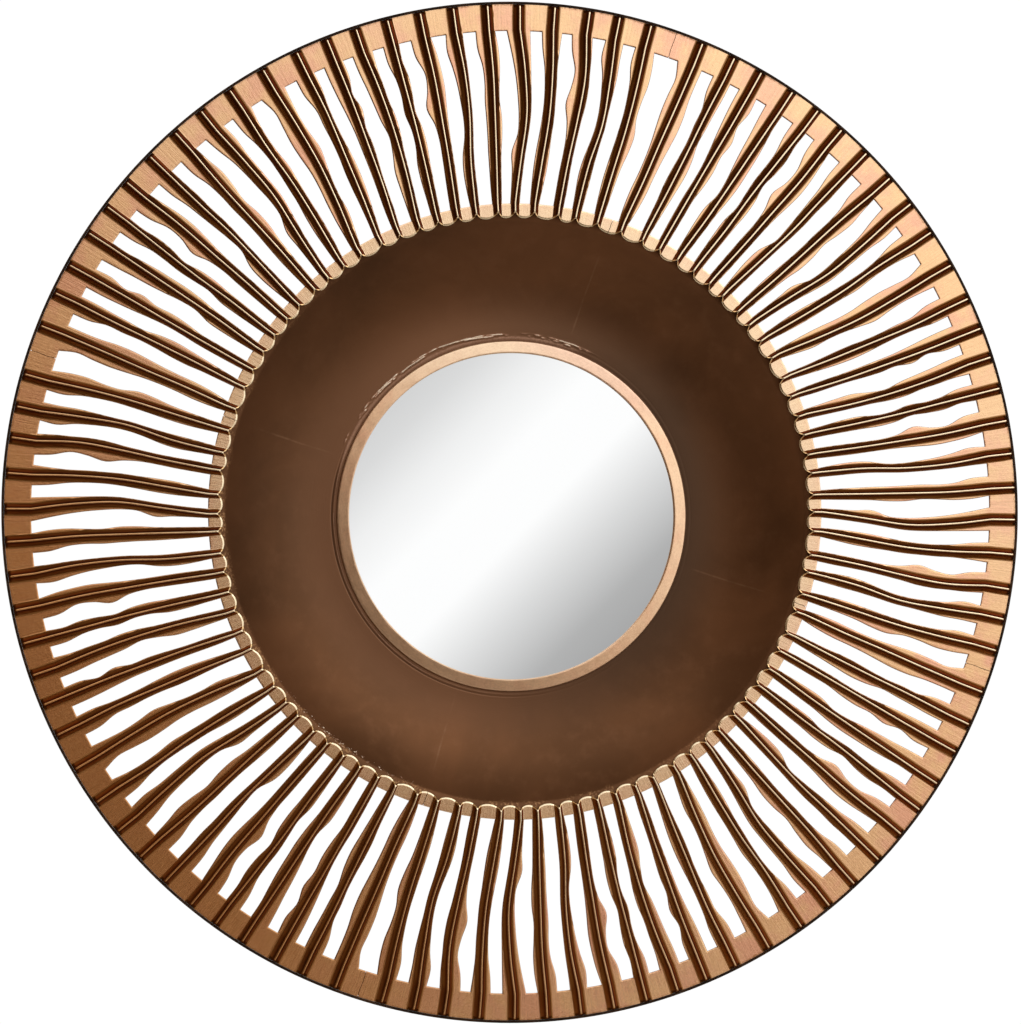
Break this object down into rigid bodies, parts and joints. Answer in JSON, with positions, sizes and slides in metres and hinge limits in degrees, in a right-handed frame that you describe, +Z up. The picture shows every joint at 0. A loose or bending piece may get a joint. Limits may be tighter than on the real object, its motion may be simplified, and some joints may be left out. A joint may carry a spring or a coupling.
{
  "type": "sunburst wall mirror",
  "caption": "Round wall mirror: a small glass in a deep bowl, ringed by a wide openwork sunburst of sharp copper-finished ribs, with a keyhole hanger at the back.",
  "frame": {"origin": "centre of the back board's flat back, on the wall plane", "axes": "+Y into the wall, the mirror faces -Y, +Z up as it hangs, +X to the right seen from the front"},
  "size_m": [0.92, 0.0578, 0.92],
  "materials": {
    "copper_leaf": "antiqued copper leaf, brushed, dark patina on the ribs' flanks",
    "dark_bronze": "dark bronze, satin",
    "dish_brown": "dark brown bronze, satin with a cloudy patina",
    "bezel_copper": "antiqued copper leaf, satin",
    "silvered_glass": "silvered float glass",
    "board_brown": "plain brown fibreboard",
    "zinc_steel": "plain zinc-plated steel"
  },
  "bodies": {
    "root": {"sunburst_panel_1": "copper_leaf", "sunburst_panel_2": "copper_leaf", "sunburst_panel_3": "copper_leaf", "sunburst_panel_4": "copper_leaf", "rim_hoop": "dark_bronze", "dish": "dish_brown", "bezel": "bezel_copper", "mirror_glass": "silvered_glass", "back_board": "board_brown", "hanger_plate": "zinc_steel"}
  },
  "joints": []
}
